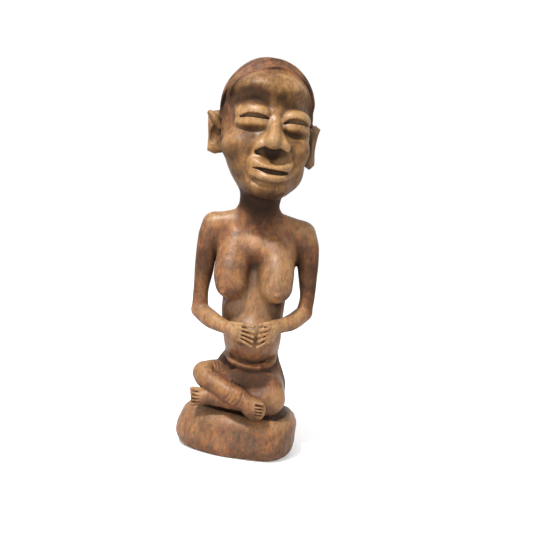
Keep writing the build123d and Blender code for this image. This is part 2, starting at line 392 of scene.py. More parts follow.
def carve_chest(c):
    """Chest, shoulders and abdomen, with a facet on each side under the breasts."""
    c.begin("chest")
    c.add(Stack([(108, 24, 21, 7, 4), (128, 29, 21, 5.7, 3), (146, 31.5, 18, 4.5, 3), (165, 34, 19, 4, 4),
                 (188, 39.5, 19, 3, 4.5), (201, 43, 25.5, 2.5, 3.5), (212, 45, 23.5, 2, 5),
                 (224, 44, 17, 1, 8), (236, 34, 13, 0, 7), (243, 20, 10, 0, 7)]), 6)
    c.tube([(-41.5, 6, 224, 13), (-22, 5, 228.5, 12.8), (0, 5, 229.5, 12.5), (22, 5, 229, 12.8),
            (44, 6, 224, 13)], 8)
    c.add(Ball((2, -5, 142), (29, 18, 40)), 8)
    c.crease([(-14, 172), (-22, 160), (-27, 150)], 4.5, 2.5)
    c.crease([(18, 170), (25, 160), (29, 150)], 4.5, 2.5)


def carve_belly(c):
    """The round belly, and the roll under it with a crease between them."""
    c.begin("belly")
    c.add(Ball((7.2, -8, 113), (28.1, 29, 27)), 10)
    c.begin("waist_roll")
    c.tube([(-17, -7, 95, 2.6), (-11.5, -22.5, 91, 3.5), (0, -29.6, 88.1, 3.7), (10, -31.4, 87.3, 3.8),
            (22, -28, 89.4, 3.7), (29.5, -19, 94.6, 3.4), (32, -8, 99.5, 1.6)], 3)
    c.crease([(-14, 97), (-8, 93.5), (9, 90.4), (22, 92.8), (31, 99)], 1.4, 1)


def carve_breasts(c):
    """Both breasts, each a hanging strand with a nipple on its front."""
    right = [(-19.8, 0, 222, 10), (-19.8, -3, 210, 14.5), (-19.8, -8, 196, 17.2),
             (-20.8, -16.5, 178, 17.2), (-19.8, -20.5, 168.5, 15.8)]
    left = [(23.8, 0, 222, 10), (23.8, -3, 210, 14.5), (23.8, -8, 196, 17.2), (24.8, -16.5, 180, 17.2),
            (25.3, -20.5, 169, 16.6)]
    for node, points, x, z in (("right_breast", right, -25.8, 159), ("left_breast", left, 27.3, 162)):
        c.begin(node)
        c.tube(points, 7)
        c.add(Ball((x, c.front(x, z) + 0.6, z), (2.6, 2.4, 2.4)), 2.5)


def carve_back(c):
    """The spine, the shoulder blades and the line between the buttocks."""
    c.begin("chest")
    c.groove([(0, 24, 226), (1, 22, 190), (4, 21, 150), (6, 25, 112)], 5, 3)
    c.groove([(-20, 24, 218), (-22, 26, 190)], 9, -2)
    c.groove([(22, 24, 218), (24, 26, 190)], 9, -2)
    c.groove([(5, 45, 92), (4, 50, 66), (3, 50, 44)], 3.5, 4)


def carve_neck_and_head(c):
    """The neck, and the head with its forehead and jaw, turned a little to its left."""
    c.begin("neck")
    c.tube([(0, 6, 228, 22), (-0.3, 5, 241, 20.8), (-0.3, 4, 256, 20.8), (-0.3, 4, 276, 21)], 7)
    c.begin("head")
    yaw = 10
    c.add(Ball((-2.5, 8, 345), (45, 43, 51.5), (0, 0, yaw)), 4)
    c.add(Ball((0, -4, 312), (43, 37, 44), (0, 0, yaw)), 14)
    c.add(Ball((3, -15, 286), (33, 29, 27), (0, 0, yaw)), 16)
    c.add(Ball((-1.5, -8, 359), (39.5, 32.5, 22), (6, 0, yaw)), 6)
    c.add(Ball((18, -12, 281), (21, 22, 18), (0, 0, 30)), 8)


# The planes that bound the hair in front and below.
HAIRLINE = ((-8, -26.5, 376), (-0.33, 1, 0.27))
NAPE = ((0, 0, 304), (0, 0.5, 1))


def hair_waves(x, y, z):
    """The height of the ridge and grooves that follow the hairline."""
    back = height_above(HAIRLINE, x, y, z)
    before = 1.1 * np.exp(-((back + 3.5) / 2.2) ** 2)
    band = 1.2 * np.exp(-((back - 5.5) / 2.5) ** 2)
    ridge = 2.1 * np.exp(-((back - 13) / 2.2) ** 2)
    behind = 1.2 * np.exp(-((back - 18.5) / 2.5) ** 2)
    return (ridge - before - band - behind) * np.clip((z - 300) / 25, 0, 1)


def carve_hair(c):
    """The hair: a cap with waves behind a thin rim, and a notch over the right ear."""
    c.begin("hair_cap")
    cap = Ball((-3, 9, 345.5), (47.5, 45, 52.5), (0, 0, 10))
    c.add(Trimmed(cap, (HAIRLINE, NAPE), 1.5), 1)
    c.relief((-60, -50, 300), (60, 70, 404), hair_waves)
    c.crease([(-33.5, 322), (-34.5, 334), (-37, 347), (-33, 360), (-24.5, 368), (-13, 374)], 2, 1.5)
    rim = [(-36.5, 320, 1), (-37.6, 333, 2.1), (-40, 347.5, 2.3), (-37, 361, 2.3), (-27.5, 370.5, 2),
           (-15, 377, 1.7), (4.4, 382.3, 1.7), (25, 379.2, 1.8), (36.5, 370.3, 1.9), (43, 357.5, 1.9),
           (45, 343, 1.4)]
    c.tube(c.on_front(rim), 1.2)
    c.cut(Strand([(-43.2, -11, 359, 1.2), (-45, -8, 351, 3.4), (-46.8, -5, 343, 4),
                  (-48.5, -2, 335, 2.6)]), 0.6)


def carve_brows(c):
    """Recesses under the forehead, deepest just over the lids."""
    c.begin("head")
    c.crease([(-42, 346), (-30, 351.5), (-15, 353), (-3, 350)], 6, 3.4)
    c.crease([(14, 348), (26, 351.5), (37, 350.5), (44, 346)], 6, 4.2)
    c.crease([(-33, 344), (-15, 347), (-2, 343), (-0.5, 334)], 3.2, 3)
    c.crease([(15.5, 334), (18, 342), (29, 345), (41, 342)], 3.2, 3)


def carve_eyes_and_cheeks(c):
    """Bulging eyes, each with a lid above and a bag below a slit, over the cheeks."""
    c.begin("head")
    lids = (("right_eyelids", (-15, -33, 334.5), (17.5, 9.4, 11), (-8, 0, -18), 3.5),
            ("left_eyelids", (28, -28.2, 332.5), (15.8, 9.8, 10.5), (-8, 0, 34), 3.5),
            ("right_eyelids", (-14.5, -33.5, 324), (17, 8.8, 7), (0, 3, -16), 3),
            ("left_eyelids", (28.5, -28.3, 322.5), (15.3, 9.2, 7), (0, 3, 34), 3))
    for node, centre, half_sizes, turn, blend in lids:
        c.node = node
        c.add(Ball(centre, half_sizes, turn), blend)
    c.node = "head"
    c.add(Ball((-24, -23.5, 303), (19, 17, 15), (0, 0, -20)), 6)
    c.add(Ball((28.5, -21.5, 305), (14.5, 15.5, 17), (0, 0, 35)), 7)
    c.crease([(-29, 320), (-15, 317.5), (-3, 319.5)], 2.6, 1.8)
    c.crease([(18, 319), (29, 316), (40, 318)], 2.6, 1.8)
    c.slit([(-26.5, 329.8, 0.7), (-20, 331.4, 2), (-12, 331.8, 2.8), (-4, 331, 2.1), (1.5, 330, 0.8)], 1.9)
    c.slit([(16, 327, 0.7), (22, 329.6, 2), (29, 330.3, 2.7), (36, 329.9, 2), (40.5, 328.8, 0.7)], 2.6)


def carve_muzzle(c):
    """The mass that carries the mouth, and the chin."""
    c.begin("head")
    c.add(Ball((6, -31.5, 281), (23, 19, 15), (0, 0, 10)), 6)
    c.add(Ball((5, -27, 266.5), (22, 18.5, 11.5), (0, 0, 12)), 8)


def carve_nose(c):
    """A narrow bridge that widens down to flat wings and a round tip."""
    c.begin("head")
    c.node = "nose"
    c.tube([(8, -37, 330, 3), (7.8, -40, 319, 6), (7.4, -42, 307.5, 9.8)], 4)
    c.tube([(3, -39, 314, 4), (-0.5, -41.5, 308.5, 5.6), (-3, -43, 303.8, 7.2)], 5)
    c.tube([(12.5, -38.5, 314, 4), (15.5, -41, 308.5, 5.4), (17.6, -42.5, 304.5, 7)], 5)
    c.tube([(7.9, -43, 323, 2.2), (7.8, -48.5, 314, 4.4), (7.6, -52.5, 306.8, 6.6)], 5)


def carve_mouth(c):
    """Lips with a slit, the hollow in which the nostrils open, and the lines at each side."""
    c.begin("head")
    c.node = "lips"
    c.tube([(-15, -36.5, 293, 2.4), (-10.5, -42, 288.4, 3.6), (-2, -47.5, 285.4, 4),
            (8, -50.3, 282.8, 3.7), (18, -47.8, 283.2, 3.8), (24.5, -41.8, 285.5, 3.2),
            (27.5, -36.5, 291, 2.4)], 4)
    c.tube([(-13, -38.5, 279.5, 2), (-3, -47, 275.3, 3.4), (8, -50.5, 273.2, 3.6), (19, -47, 274.4, 3.4),
            (26.5, -38.5, 278, 2)], 3)
    c.cut(Ball((7.6, -56.5, 292.6), (17, 13, 7.8), (0, 3, 0)), 1.5)
    c.cut(Strand([(-6.5, -43, 297.4, 2.6), (0, -45.5, 298.6, 4.6), (7.5, -44.5, 296.6, 4.6),
                  (15, -45, 298.9, 4.6), (21.5, -41.5, 297.4, 2.6)]), 1)
    c.cut(Strand([(8, -43, 297, 2.6), (8.2, -45, 289, 1.2)]), 1.5)
    c.slit([(-9, 281.8, 0.7), (-2, 281.2, 1.6), (7, 279.4, 2.3), (16, 279, 2), (24, 280, 0.8)], 4.8)
    c.crease([(-8, 270.5), (0, 268.5), (10, 267.5), (20, 269.5)], 2.6, 3.6)
    c.crease([(-10, 305), (-14.5, 295), (-17, 284), (-13, 272)], 2, 1.3)
    c.crease([(22, 309), (28, 299), (29.5, 287), (26, 276)], 1.8, 2.2)


def carve_ears(c):
    """The right ear, which faces forward, and the left one, which lies back."""
    c.begin("right_ear")
    c.add(Plate((-46, 6, 297), (-1, 0.25, 0), (0, 0, 1),
                [(-4, 36), (6, 44), (14, 43), (17, 39), (14, 17), (14, 2), (6, -1), (-4, 1)], 8, 3), 2)
    c.cut(Ball((-53.5, 0.5, 316), (6, 8, 11.5), (0, 8, 0)), 1.2)
    c.tube([(-60, 6.5, 337, 3), (-55, 3.5, 332, 3.4), (-48, 1.5, 322, 3)], 1)
    c.begin("left_ear")
    c.add(Plate((45, 8, 292), (0.5, 1, 0), (0, 0, 1),
                [(-6, 38), (8, 45), (20, 43), (15, 32), (13, 16), (13, 3), (4, -2), (-6, 0)], 6, 2.5), 2)
    c.add(Ball((44, 15.5, 334), (3, 4, 4)), 1)
    c.cut(Ball((51.2, 12.5, 313.5), (3, 6, 14), (0, 0, -26.6)), 1.5)


def carve_arms(c):
    """Thin arms from the shoulders to the wrists, bent at the elbows."""
    c.begin("right_upper_arm")
    c.tube([(-44, 6, 223.5, 13.2), (-47.6, 5.5, 212, 11.8), (-49.2, 4, 196, 10.4), (-50, 1.5, 177, 9.7),
            (-50.6, -1, 156, 7.8), (-49.6, -4, 138.5, 8.3)], 4)
    c.begin("right_forearm")
    c.tube([(-49.3, -4, 136, 8.8), (-37, -16, 130, 8.8), (-25, -27, 126.6, 7.3), (-15, -35, 125, 6)], 2)
    c.begin("left_upper_arm")
    c.tube([(47.5, 6, 223, 13.4), (53, 5.5, 210, 12.4), (55.8, 4, 194, 11), (57.4, 1.5, 177, 9.1),
            (58.4, -1, 160, 7.6), (57, -4, 146, 8.1)], 4)
    c.begin("left_forearm")
    c.tube([(56.5, -4, 143.5, 8.6), (45.5, -16, 136, 8.3), (35.5, -27, 132.4, 7.1),
            (28, -34.5, 131, 6.4)], 2)


def carve_fingers(c, knuckles, middle, tips, heights):
    """Four fingers: the X of the first and last one's ends, and the height of each one's ends."""
    for finger, (root, end) in enumerate(heights):
        t = finger / 3
        back = 2.2 * t
        c.tube([(between(knuckles, t), -40.5 + 0.7 * back, root, 2.6),
                (middle, -43.3 + 0.7 * back, (root + end) / 2 + 0.6, 2.45),
                (between(tips, t), -43.8 + back, end, 2.2)], 1)


def carve_gaps(c, inner, middle, outer, heights, deep):
    """Slits between fingers or toes: the X of the first and last one's ends, and each one's heights."""
    for gap, (root, end) in enumerate(heights):
        t = gap / 3
        c.slit([(between(inner, t), root, 0.3), (middle, (root + end) / 2, 0.5),
                (between(outer, t), end, 0.5)], deep)


def carve_hands(c):
    """Both hands flat on the belly, finger tips together, with the thumbs above."""
    c.begin("right_hand")
    c.tube([(-15, -35, 125.5, 6), (-9, -37, 122.5, 6.6)], 2)
    c.add(Ball((-5, -36.5, 120.5), (8, 6.5, 9.5)), 3)
    carve_fingers(c, (-9, -9), 0.5, (8.2, 7),
                  [(127.5, 125.8), (124.3, 120.7), (120.9, 115.8), (117.3, 110.8)])
    c.tube([(-17, -36, 129.8, 2.6), (-6, -41, 131, 2.4), (7, -42.5, 130.4, 2.1)], 1)
    carve_gaps(c, (-3.5, -3.5), 2.5, (7.6, 6.4),
               [(129, 128.2), (125, 123.3), (121.2, 118.2), (117.6, 113.4)], 2.6)
    c.begin("left_hand")
    c.tube([(28, -34.5, 131.5, 6.4), (24, -37, 126, 6.6)], 2)
    c.add(Ball((22, -36.5, 122), (7.5, 6.5, 10)), 3)
    carve_fingers(c, (26, 24), 20, (14, 13.4),
                  [(130.8, 127.5), (127.6, 121.8), (124, 116.2), (120, 110.4)])
    c.tube([(30, -36, 135, 2.6), (22, -41, 134.4, 2.4), (13.5, -43, 132.6, 2.1)], 1)
    carve_gaps(c, (23.5, 22), 18.5, (14, 14),
               [(132.1, 130), (128.3, 124.8), (124.5, 119), (120.7, 113.3)], 2.6)


def carve_legs(c):
    """Folded legs, the right shin crossing in front of the left one."""
    c.begin("left_thigh")
    c.tube([(20, 8, 64, 20), (26, -10, 62, 19), (29, -26, 59, 16.5)], 5)
    c.begin("left_shin")
    c.tube([(29, -32, 58.3, 16.4), (16, -37, 58, 13), (0, -38, 56.5, 10.5), (-22, -37, 56.5, 8)], 2.5)
    c.begin("right_thigh")
    c.tube([(-14, 6, 68, 18), (-27, -7, 74, 13.5), (-37, -18, 76, 11)], 4)
    c.begin("right_shin")
    c.tube([(-38.3, -20, 75.5, 11), (-33, -28, 71.5, 10.5), (-14, -41, 65.3, 10),
            (-1, -48, 61.6, 9.4)], 1.5)


def carve_feet(c):
    """Both feet, toes outward."""
    toes = [toe / 4 for toe in range(5)]
    c.begin("left_foot")
    c.tube([(-22, -37, 56.5, 8), (-31, -36, 56, 8.2), (-38, -35.5, 54.5, 8.4)], 2)
    for t in toes:
        c.tube([(-37, -38, 62 - 12 * t, 2.6), (-46.3 + 2 * t, -38.5, 62.6 - 14.8 * t, 2.3)], 0.8)
    carve_gaps(c, (-38, -38), -41, (-45.8, -44.2),
               [(60.5, 60.7), (57.5, 57), (54.5, 53.4), (51.5, 49.7)], 2.2)
    c.begin("right_foot")
    c.tube([(-1, -48, 61.6, 9.4), (8, -50.5, 57.2, 9), (18, -52, 53, 9.6)], 2)
    c.add(Ball((15.5, -52, 50.8), (11, 8.5, 8.2), (0, 20, 0)), 3)
    for t in toes:
        c.tube([(17, -57 + t, 59.5 - 11.5 * t, 2.4), (23, -58.5 + 1.2 * t, 59.5 - 12.6 * t, 2.2)], 0.8)
    carve_gaps(c, (16.5, 16.5), 19.8, (23.5, 23.5),
               [(58, 58), (55.2, 54.8), (52.3, 51.6), (49.5, 48.6)], 2)


def carve_wrinkles(c):
    """Creases round the right ankle and over the right knee."""
    c.begin("right_shin")
    for x, z in ((-9, 67.5), (-5.5, 66), (-2, 64.6), (2.5, 63)):
        c.crease([(x - 3, z - 7.5), (x + 0.5, z), (x + 1, z + 7)], 0.9, 0.9)
    for x in (-28, -25, -22):
        c.crease([(x - 2, 86), (x, 82), (x + 1, 78.5)], 1, 1.3)


def carve_tool_marks(c):
    """The uneven surface a knife leaves: shallow facets and a slow wander of the whole form."""
    x, y, z = (axis.reshape(shape) for axis, shape in zip(c.axes, ((-1, 1, 1), (1, -1, 1), (1, 1, -1))))
    wander = 0.22 * (np.sin(x / 7.3 + 1.1 * np.sin(z / 15.1)) * np.sin(y / 8.7 + 0.4)
                     + np.sin(z / 9.1 + x / 13))
    facets = 0.12 * np.sin(x / 2.9 + np.sin(z / 6.1)) * np.sin(z / 4.3 + np.sin(y / 5.3)) * np.sin(y / 3.1)
    c.field += wander + facets


def carve_figure():
    """The whole figure. The order matters, because each cut follows the surface that it finds."""
    low, high = ([value / MM for value in corner] for corner in cad_bounds)
    block = Carving([value - MARGIN for value in low], [value + MARGIN for value in high], VOXEL)
    for carve in (carve_pedestal, carve_hips, carve_chest, carve_belly, carve_breasts, carve_back,
                  carve_neck_and_head, carve_hair, carve_brows, carve_eyes_and_cheeks, carve_muzzle,
                  carve_nose, carve_mouth, carve_ears, carve_arms, carve_hands, carve_legs, carve_feet,
                  carve_wrinkles, carve_tool_marks):
        carve(block)
    return block


# ---- from the field to meshes ----
CORNERS = [(0, 0, 0), (1, 0, 0), (0, 1, 0), (1, 1, 0), (0, 0, 1), (1, 0, 1), (0, 1, 1), (1, 1, 1)]
CELL_EDGES = [(a, b) for a in range(8) for b in range(a + 1, 8)
              if sum(abs(p - q) for p, q in zip(CORNERS[a], CORNERS[b])) == 1]
STEPS = [(-1, 0, 0), (1, 0, 0), (0, -1, 0), (0, 1, 0), (0, 0, -1), (0, 0, 1)]
INSIDE = (slice(1, -1),) * 3  # all but the outermost voxels, which are air
CLEANING_PASSES = 6
LEAST_DISTANCE = 0.01  # how far a voxel's value is kept from zero


def shifted(grid, corner):
    """The grid one step on along each axis where the corner is 1, cut to the size such views share."""
    return grid[tuple(slice(step, n - 1 + step) for step, n in zip(corner, grid.shape))]


def drop_strays(label):
    """Gives each voxel with hardly a neighbour of its own kind to what lies round it."""
    alike = np.zeros(label[INSIDE].shape, np.uint8)
    for step in STEPS:
        neighbour = label[tuple(slice(1 + k, n - 1 + k) for k, n in zip(step, label.shape))]
        alike += label[INSIDE] == neighbour
    for place in np.argwhere(alike < 2) + 1:
        around = [label[tuple(place + step)] for step in STEPS]
        label[tuple(place)] = max(sorted(set(around)), key=around.count)


def join_corners(label):
    """Fills in beside each pair of voxels of one mass that would touch only along an edge."""
    for first, second in ((0, 1), (0, 2), (1, 2)):
        none, one, other, both = np.zeros((4, 3), int)
        one[first] = other[second] = both[first] = both[second] = 1
        for a, b, c, d in ((none, one, other, both), (one, both, none, other)):
            mass = shifted(label, a)
            touching = (mass == shifted(label, d)) & (mass > 0)
            touching &= (mass != shifted(label, b)) & (mass != shifted(label, c))
            places = np.argwhere(touching)
            beside, opposite = places + b, places + c
            swap = (label[tuple(beside.T)] == 0) & (label[tuple(opposite.T)] > 0)
            chosen = np.where(swap[:, None], opposite, beside)
            label[tuple(chosen.T)] = label[tuple((places + a).T)]


def whole_masses(carving):
    """The node's number in each voxel, 0 in the air, cleaned so that every piece is closed."""
    label = np.where(carving.field < 0, carving.owner, 0).astype(np.uint8)
    for _ in range(CLEANING_PASSES):
        drop_strays(label)
        join_corners(label)
    carving.field = np.where(label > 0, np.minimum(carving.field, -LEAST_DISTANCE),
                             np.maximum(carving.field, LEAST_DISTANCE))
    return label


def net_vertices(carving, label, active):
    """A vertex for each active cell: on the wood's surface if that passes, else between its masses."""
    cells = np.argwhere(active)
    values = [shifted(carving.field, corner)[active] for corner in CORNERS]
    labels = [shifted(label, corner)[active] for corner in CORNERS]
    skin, skin_count = np.zeros((len(cells), 3)), np.zeros(len(cells))
    seam, seam_count = np.zeros((len(cells), 3)), np.zeros(len(cells))
    for a, b in CELL_EDGES:
        start, step = np.array(CORNERS[a]), np.array(CORNERS[b]) - np.array(CORNERS[a])
        through_skin = (labels[a] == 0) != (labels[b] == 0)
        gap = values[a] - values[b]
        t = np.where(through_skin, values[a] / np.where(gap == 0, 1, gap), 0.5)
        through_seam = (labels[a] != labels[b]) & ~through_skin
        skin += through_skin[:, None] * (start + t[:, None] * step)
        skin_count += through_skin
        seam += through_seam[:, None] * (start + 0.5 * step)
        seam_count += through_seam
    place = np.where(skin_count[:, None] > 0, skin / np.maximum(skin_count, 1)[:, None],
                     seam / np.maximum(seam_count, 1)[:, None])
    return (cells + place) * carving.voxel + carving.low


def net_quads(label, index):
    """A quad wherever two voxels differ, and the numbers of the nodes on its two sides."""
    quads, sides = [], []
    for axis in range(3):
        across, along = (axis + 1) % 3, (axis + 2) % 3
        low = list(INSIDE)
        low[axis] = slice(0, -1)
        high = list(INSIDE)
        high[axis] = slice(1, None)
        a, b = label[tuple(low)], label[tuple(high)]
        where = np.argwhere(a != b)
        offset = np.ones(3, int)
        offset[axis] = 0
        corners = []
        for du, dv in ((-1, -1), (0, -1), (0, 0), (-1, 0)):
            cell = where + offset
            cell[:, across] += du
            cell[:, along] += dv
            corners.append(index[tuple(cell.T)])
        quads.append(np.stack(corners, 1))
        sides.append(np.stack([a[tuple(where.T)], b[tuple(where.T)]], 1))
    return np.vstack(quads), np.vstack(sides)


def surface_nets(carving):
    """Vertices on the wood's surface and between its masses, and quads with the node on each side."""
    label = whole_masses(carving)
    first = shifted(label, CORNERS[0])
    active = np.zeros(first.shape, bool)
    for corner in CORNERS[1:]:
        active |= shifted(label, corner) != first
    index = np.full(active.shape, -1, np.int32)
    index[active] = np.arange(active.sum())
    return (net_vertices(carving, label, active), *net_quads(label, index))


# ---- what the material needs to know at each point of the surface ----
# How dark each node is, from 0, golden with wear, to about 1, darkest: mostly age, but the neck's value is
# partly painted shade under the head and the hips' partly painted shade in the lap under the belly.
PATINA_AND_SHADE = {"neck": 0.95, "right_upper_arm": 0.8, "left_upper_arm": 1, "hips": 1.1, "belly": 0.25,
          "right_breast": 0.6, "left_breast": 0.25, "right_forearm": 0.35, "left_forearm": 0.3,
          "right_hand": 0.2, "left_hand": 0.2, "waist_roll": 0.6, "right_shin": 0.6, "right_foot": 0.6,
          "left_shin": 0.35, "left_thigh": 0.4, "right_thigh": 0.6, "hair_cap": 1, "nose": 0,
          "right_eyelids": 0, "left_eyelids": 0.05, "lips": 0.2, "right_ear": 0.6, "left_ear": 0.6}
USUAL_PATINA = 0.5
# Spots where it is darker, or lighter if the amount is negative: X, Y and Z of the centre, radius, amount.
# Most are stains and wear; some, marked below, are painted shade or painted light.
STAINS_AND_SHADES = [
    # head
    # painted shade: the six spots on this line and the next darken the brow recesses under the forehead
    (-26, -36, 346, 7, 1.3), (-15, -40, 347.5, 7, 1.3), (-4, -40, 346, 6, 1.2),
    (19, -37, 345, 7, 1.2), (29, -34, 346, 7, 1.3), (38, -27, 345, 7, 1.3),
    # painted shade under both eyes, and a strong painted shadow under the nose (third spot)
    (-16, -41, 318, 9, 0.9), (29, -35, 317, 8, 0.9), (8, -41.5, 299, 6.5, 3),
    # painted shade in the crease under the lower lip (first spot)
    (8, -46, 268, 6, 0.1), (-12, -8, 320, 30, 0.1), (-28, -30, 305, 16, 0.25),
    # painted shade beside the right nose wing (second spot) and in the notch over the right temple (third
    # spot)
    (-6, -36, 370, 22, 0.4), (-13, -38, 300, 6, 0.6), (-45, -6, 346, 7, 1.4),
    # the two spots on this line darken the hollows of the ears
    (-53, 0, 316, 10, 0.4), (48, 2, 314, 10, 0.8),
    # body
    # painted shade over the neck under the head (first spot)
    (0, -14, 254, 17, 1.3), (54, -4, 226, 15, -0.8), (-40, 0, 232, 20, -0.5),
    # painted shadow of the head on the left of the chest (second spot) and painted shade under the right
    # breast (third spot)
    (-30, -8, 220, 10, 0.4), (24, -12, 216, 15, 0.4), (-24, -14, 161, 8, 0.9),
    # painted shade under the left breast (first spot); the abdomen is lighter partly from wear, partly as
    # painted light (second spot)
    (30, -12, 154, 7, 0.8), (3, -26, 142, 20, -1.3), (-47, -8, 190, 14, 0.3),
    (-35, -28, 125, 20, 0.15), (45, -28, 132, 20, 0.15),
    # painted shade in the lap under the belly (first spot)
    (8, -38, 76, 20, 0.85), (26, -40, 60, 16, -0.2)]
HOLLOW_THINNING, PATINA_THINNING = 2, 3  # how many voxels apart the values of the blurred grids are
FINE_HOLLOWS, BROAD_HOLLOWS, PATINA_BLUR = 2, 7, 5  # blur radii in millimetres


def thin(grid, thinning):
    """Every second or third value of a grid, along each axis."""
    return grid[::thinning, ::thinning, ::thinning]


def sample(carving, grid, points, thinning=1):
    """The value of a thinned grid at each point, interpolated between its neighbours."""
    at = (points - carving.low) / (thinning * carving.voxel)
    base = np.clip(np.floor(at).astype(int), 0, np.array(grid.shape) - 2)
    t = np.clip(at - base, 0, 1)
    total = 0
    for corner in CORNERS:
        weight = np.prod([t[:, k] if corner[k] else 1 - t[:, k] for k in range(3)], 0)
        total = total + weight * grid[tuple((base + corner).T)]
    return total


def box_blur(grid, radius):
    """Averages a grid over a cube, one axis at a time."""
    width = 2 * radius + 1
    for axis in range(3):
        padding = [(0, 0)] * 3
        padding[axis] = (radius + 1, radius)
        total = np.cumsum(np.pad(grid, padding, mode="edge"), axis=axis, dtype=np.float32)
        length = grid.shape[axis]
        upper = np.take(total, range(width, width + length), axis=axis)
        grid = (upper - np.take(total, range(length), axis=axis)) / width
    return grid


def sample_blurred(carving, grid, points, thinning, radius):
    """The value of a thinned grid at each point after a soft blur."""
    reach = max(1, round(radius / (thinning * carving.voxel)))
    return sample(carving, box_blur(box_blur(grid, reach), reach), points, thinning)


def hollowness(carving, points, radius):
    """How much wood lies round each point: 0 on the flat, above on hollows and below on high places."""
    wood = np.clip(0.5 - thin(carving.field, HOLLOW_THINNING) / (2 * carving.voxel), 0, 1)
    return 2 * sample_blurred(carving, wood, points, HOLLOW_THINNING, radius) - 1


def patina_and_shade(carving, points):
    """How dark the wood is at each point, from age and from painted shade and light: near 0 where it is
    golden, 1 or more where dark.
    """
    darkness = np.array([PATINA_AND_SHADE.get(node, USUAL_PATINA) for node in [None] + NODES], np.float32)
    grid = darkness[thin(carving.owner, PATINA_THINNING)]
    result = sample_blurred(carving, grid, points, PATINA_THINNING, PATINA_BLUR)
    for *centre, radius, amount in STAINS_AND_SHADES:
        distance = np.linalg.norm(points - np.array(centre), axis=1) / radius
        result += amount * np.exp(-distance * distance)
    return result


def slope(carving, points):
    """The direction away from the wood at each point."""
    result = np.empty_like(points)
    for axis in range(3):
        step = np.zeros(3)
        step[axis] = carving.voxel
        result[:, axis] = (sample(carving, carving.field, points + step)
                           - sample(carving, carving.field, points - step))
    return result / np.maximum(np.linalg.norm(result, axis=1, keepdims=True), TINY)


def make_mesh(node, vertices, normals, quads, shades):
    """A closed mesh from a node's quads, with shades as the attributes that its material reads."""
    used, faces = np.unique(quads, return_inverse=True)
    faces = faces.reshape(-1, 4)
    mesh = bpy.data.meshes.new("carved_" + node)
    mesh.vertices.add(len(used))
    mesh.vertices.foreach_set("co", (vertices[used] * MM).ravel())
    mesh.loops.add(faces.size)
    mesh.loops.foreach_set("vertex_index", faces.ravel())
    mesh.polygons.add(len(faces))
    mesh.polygons.foreach_set("loop_start", np.arange(len(faces)) * 4)
    mesh.polygons.foreach_set("use_smooth", np.ones(len(faces), bool))
    mesh.update(calc_edges=True)
    for name, values in shades.items():
        attribute = mesh.attributes.new(name, "FLOAT", "POINT")
        attribute.data.foreach_set("value", values[used].astype(np.float32))
    mesh.normals_split_custom_set_from_vertices([tuple(normal) for normal in normals[used]])
    return mesh


def make_pieces(carving, woods):
    """One piece for each node, cut from the carving's surface, in the wood of its slot."""
    vertices, quads, sides = surface_nets(carving)
    vertices[:, 2] = np.maximum(vertices[:, 2], 0)  # the underside is flat on the floor
    normals = slope(carving, vertices)
    shades = {"hollow_fine": hollowness(carving, vertices, FINE_HOLLOWS),
              "hollow_broad": hollowness(carving, vertices, BROAD_HOLLOWS),
              "patina_and_shade": patina_and_shade(carving, vertices),
              "upward": normals[:, 2]}
    slots = {part["node"]: part["material_slot"] for part in frame["record"]["subparts"]}
    for number, node in enumerate(NODES, 1):
        own = np.vstack([quads[sides[:, 0] == number], quads[sides[:, 1] == number][:, ::-1]])
        mesh = make_mesh(node, vertices, normals, own, shades)
        slot = slots[node]
        mesh.materials.append(woods[slot])
        piece = bpy.data.objects.new("carved_" + node, mesh)
        SCENE.collection.objects.link(piece)
        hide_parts(node)
        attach(piece, "root")


# ---- wood ----
class Nodes:
    """Short names for adding nodes to a material."""

    def __init__(self, material):
        material.use_nodes = True
        self.tree = material.node_tree
        self.shader = self.tree.nodes["Principled BSDF"]

    def plug(self, value, socket):
        """Links another node's output to a socket, or sets the socket to a plain value."""
        if isinstance(value, bpy.types.NodeSocket):
            self.tree.links.new(value, socket)
        else:
            socket.default_value = value

    def put(self, kind, inputs=(), **settings):
        """A new node with these inputs and settings."""
        node = self.tree.nodes.new("ShaderNode" + kind)
        for name, value in settings.items():
            setattr(node, name, value)
        for name, value in dict(inputs).items():
            self.plug(value, node.inputs[name])
        return node

    def spread(self, value, low, high, to_low=0, to_high=1):
        """Spreads the values between low and high over another range."""
        return self.put("MapRange", {"Value": value, "From Min": low, "From Max": high,
                                     "To Min": to_low, "To Max": to_high}).outputs["Result"]

    def mix(self, factor, below, above):
        """One colour over another, as strong as the factor."""
        node = self.put("Mix", data_type="RGBA")
        # a mix node has sockets for numbers and vectors as well: 0 is the factor, 6 and 7 the colours
        for index, value in ((0, factor), (6, below), (7, above)):
            self.plug(value, node.inputs[index])
        return node.outputs[2]

    def maths(self, operation, first, second):
        """The result of an operation on two numbers."""
        return self.put("Math", {0: first, 1: second}, operation=operation).outputs[0]

    def noise(self, stretch, scale, detail, rough):
        """Noise in the frame's metres, stretched along Z where stretch is below 1."""
        place = self.put("TexCoord").outputs["Object"]
        place = self.put("Mapping", {"Vector": place, "Scale": (1, 1, stretch)}).outputs["Vector"]
        return self.put("TexNoise", {"Vector": place, "Scale": scale, "Detail": detail,
                                     "Roughness": rough}).outputs["Fac"]

    def attribute(self, name):
        """An attribute of the mesh."""
        return self.put("Attribute", attribute_name=name).outputs["Fac"]


RED_BROWN = (0.13, 0.042, 0.019, 1)
ORANGE = (0.215, 0.085, 0.026, 1)
GREY_BROWN = (0.082, 0.057, 0.038, 1)
OLIVE_BROWN = (0.12, 0.052, 0.017, 1)
HONEY = (0.205, 0.098, 0.026, 1)
GOLDEN = (0.24, 0.136, 0.058, 1)
UMBER = (0.036, 0.018, 0.011, 1)
DARK = (0.01, 0.006, 0.004, 1)
# dark browns for the hollows and creases: partly dirt, partly painted shade where shade falls
HOLLOW_DIRT_AND_SHADE = (0.03, 0.017, 0.011, 1)
CREASE_DIRT_AND_SHADE = (0.022, 0.012, 0.007, 1)


